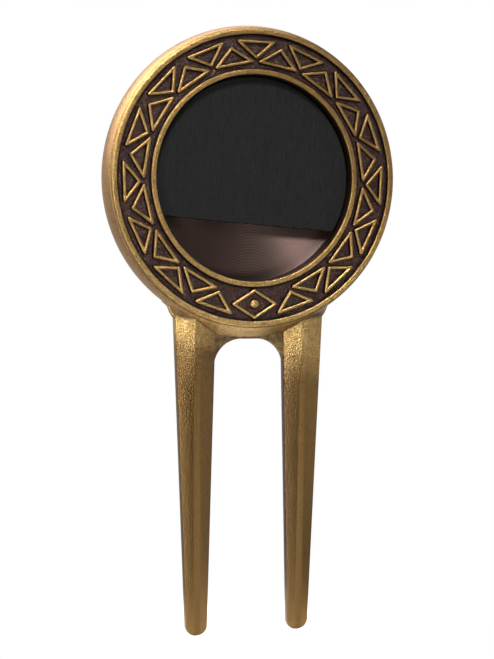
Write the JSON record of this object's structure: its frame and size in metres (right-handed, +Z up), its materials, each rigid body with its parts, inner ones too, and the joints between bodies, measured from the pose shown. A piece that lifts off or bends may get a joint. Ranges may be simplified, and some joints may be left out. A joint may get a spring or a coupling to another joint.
{
  "type": "divot repair tool",
  "caption": "Round-headed golf divot repair tool with tapered ridged prongs, a triangle-patterned ring, and a magnetic ball-marker pocket in the head",
  "frame": {"origin": "midway between the two prong tips, in the middle of the thickness, at the bottom of the tool", "axes": "+Z runs up the tool from the prong tips to the head, -Y is the front with the marker pocket, +X is to the right seen from the front"},
  "size_m": [0.0382, 0.0048, 0.0769],
  "materials": {
    "antique_brass": "die-cast, antique-brass plated, dark patina in the recesses, satin-buffed raised lines",
    "magnet_sheet": "matte black flexible magnetic sheet with fine rolled lines",
    "adhesive": "thin double-sided film, slightly milky"
  },
  "bodies": {
    "body": {"tool_body": "antique_brass"},
    "pad_insert": {"magnet_pad": "magnet_sheet", "adhesive_film": "adhesive"}
  },
  "joints": [
    {"name": "pad_lift", "type": "slide", "parent": "body", "child": "pad_insert", "axis": [0, -1, 0], "range_m": [0, 0.005]}
  ]
}
